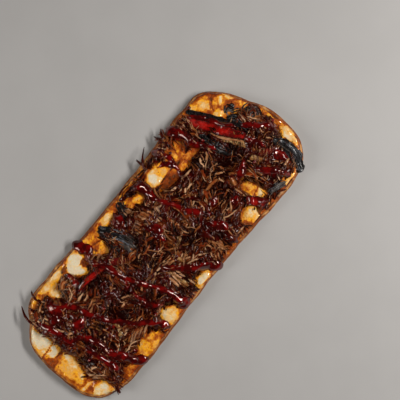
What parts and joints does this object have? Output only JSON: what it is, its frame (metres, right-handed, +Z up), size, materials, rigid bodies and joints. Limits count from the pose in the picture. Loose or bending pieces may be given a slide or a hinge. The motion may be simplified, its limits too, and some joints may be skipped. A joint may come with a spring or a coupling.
{
  "type": "pizza",
  "caption": "Long flatbread pizza with melted cheese, a heap of pulled beef in barbecue sauce, strips of roasted and charred pepper and soft onion.",
  "frame": {"origin": "under the middle of the pizza, on the surface that it rests on", "axes": "+X along the length, +Y across it, +Z up"},
  "size_m": [0.3438, 0.1364, 0.0248],
  "materials": {
    "crust": "baked bread, browned at its rim, floury underneath",
    "tomato_sauce": "baked tomato sauce",
    "cheese": "melted cheese with orange oil and browned patches",
    "pulled_beef": "shredded meat, wet with dark barbecue sauce",
    "red_pepper": "soft roasted pepper, wet",
    "charred_pepper": "blackened pepper skin, glossy",
    "onion": "soft cooked onion, stained by sauce"
  },
  "bodies": {
    "root": {"crust": "crust", "tomato_sauce": "tomato_sauce", "cheese": "cheese", "pulled_beef": "pulled_beef", "red_pepper_1": "red_pepper", "red_pepper_2": "red_pepper", "red_pepper_3": "red_pepper", "red_pepper_4": "red_pepper", "red_pepper_5": "red_pepper", "red_pepper_6": "red_pepper", "red_pepper_7": "red_pepper", "red_pepper_8": "red_pepper", "charred_pepper_1": "charred_pepper", "charred_pepper_2": "charred_pepper", "charred_pepper_3": "charred_pepper", "charred_pepper_4": "charred_pepper", "charred_pepper_5": "charred_pepper", "charred_pepper_6": "charred_pepper", "charred_pepper_7": "charred_pepper", "charred_pepper_8": "charred_pepper", "onion_1": "onion", "onion_2": "onion", "onion_3": "onion", "onion_4": "onion", "onion_5": "onion", "onion_6": "onion"}
  },
  "joints": []
}
